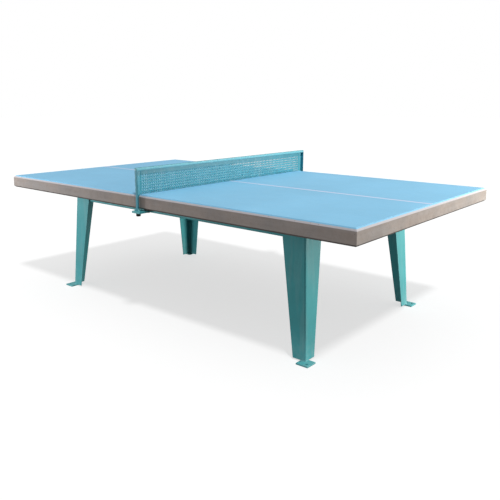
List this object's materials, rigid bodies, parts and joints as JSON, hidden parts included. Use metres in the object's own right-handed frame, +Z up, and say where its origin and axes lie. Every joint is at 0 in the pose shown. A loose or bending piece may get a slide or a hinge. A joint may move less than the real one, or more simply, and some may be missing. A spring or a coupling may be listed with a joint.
{
  "type": "table tennis table",
  "caption": "Outdoor table tennis table: bevelled concrete top with a blue court, folded steel legs, steel underframe and a perforated steel net held by a hand screw at each end.",
  "frame": {"origin": "on the floor, under the middle of the table", "axes": "+X along the table towards one player, +Y across the table along the net, +Z up"},
  "size_m": [2.74, 1.59, 0.9125],
  "materials": {
    "concrete": "fair-faced cast concrete with fine mottling and small air pores, sealed",
    "reinforcing_steel": "plain mill-finish bar",
    "court_coating": "satin light blue coating with a very fine texture",
    "line_paint": "matt white paint",
    "teal_powder_coat": "satin teal powder coat over galvanised sheet",
    "net_powder_coat": "satin teal powder coat, lighter than the legs",
    "zinc_steel": "zinc-plated steel",
    "black_knob_plastic": "moulded black plastic, lightly grained"
  },
  "bodies": {
    "table": {"concrete_slab": "concrete", "mesh_bars_long": "reinforcing_steel", "mesh_bars_cross": "reinforcing_steel", "court_front": "court_coating", "court_back": "court_coating", "middle_line_paint": "line_paint", "long_rail_front": "teal_powder_coat", "long_rail_back": "teal_powder_coat", "end_rail_left": "teal_powder_coat", "end_rail_right": "teal_powder_coat", "leg_front_left": "teal_powder_coat", "leg_front_right": "teal_powder_coat", "leg_back_left": "teal_powder_coat", "leg_back_right": "teal_powder_coat", "head_plate_front_left": "teal_powder_coat", "head_plate_front_right": "teal_powder_coat", "head_plate_back_left": "teal_powder_coat", "head_plate_back_right": "teal_powder_coat", "foot_plate_front_left": "teal_powder_coat", "foot_plate_front_right": "teal_powder_coat", "foot_plate_back_left": "teal_powder_coat", "foot_plate_back_right": "teal_powder_coat", "leg_inserts": "zinc_steel", "leg_bolts": "zinc_steel", "leg_washers": "zinc_steel", "net_panel": "net_powder_coat", "net_post_front": "net_powder_coat", "net_post_back": "net_powder_coat", "net_foot_front": "teal_powder_coat", "net_foot_back": "teal_powder_coat", "net_nuts": "zinc_steel", "bracket_front": "teal_powder_coat", "bracket_back": "teal_powder_coat", "bracket_spacers": "zinc_steel", "bracket_inserts": "zinc_steel", "bracket_bolts": "zinc_steel", "bracket_washers": "zinc_steel"},
    "front_thrust_washer": {"thrust_washer_front": "zinc_steel"},
    "front_hand_screw": {"knob_front": "black_knob_plastic", "screw_stud_front": "zinc_steel"},
    "back_thrust_washer": {"thrust_washer_back": "zinc_steel"},
    "back_hand_screw": {"knob_back": "black_knob_plastic", "screw_stud_back": "zinc_steel"}
  },
  "joints": [
    {"name": "front_screw_travel", "type": "slide", "parent": "table", "child": "front_thrust_washer", "axis": [0, 0, 1], "range_m": [-0.013, 0]},
    {"name": "front_screw_turn", "type": "hinge", "parent": "front_thrust_washer", "child": "front_hand_screw", "pos_m": [0, -0.7755, 0.65], "axis": [0, 0, 1], "range_deg": [-3744.5, 0]},
    {"name": "back_screw_travel", "type": "slide", "parent": "table", "child": "back_thrust_washer", "axis": [0, 0, 1], "range_m": [-0.013, 0]},
    {"name": "back_screw_turn", "type": "hinge", "parent": "back_thrust_washer", "child": "back_hand_screw", "pos_m": [0, 0.7755, 0.65], "axis": [0, 0, 1], "range_deg": [-3744.5, 0]}
  ],
  "couplings": [
    {"joint": "front_screw_turn", "follows": "front_screw_travel", "rad_per_m": 5026.5},
    {"joint": "back_screw_turn", "follows": "back_screw_travel", "rad_per_m": 5026.5}
  ]
}
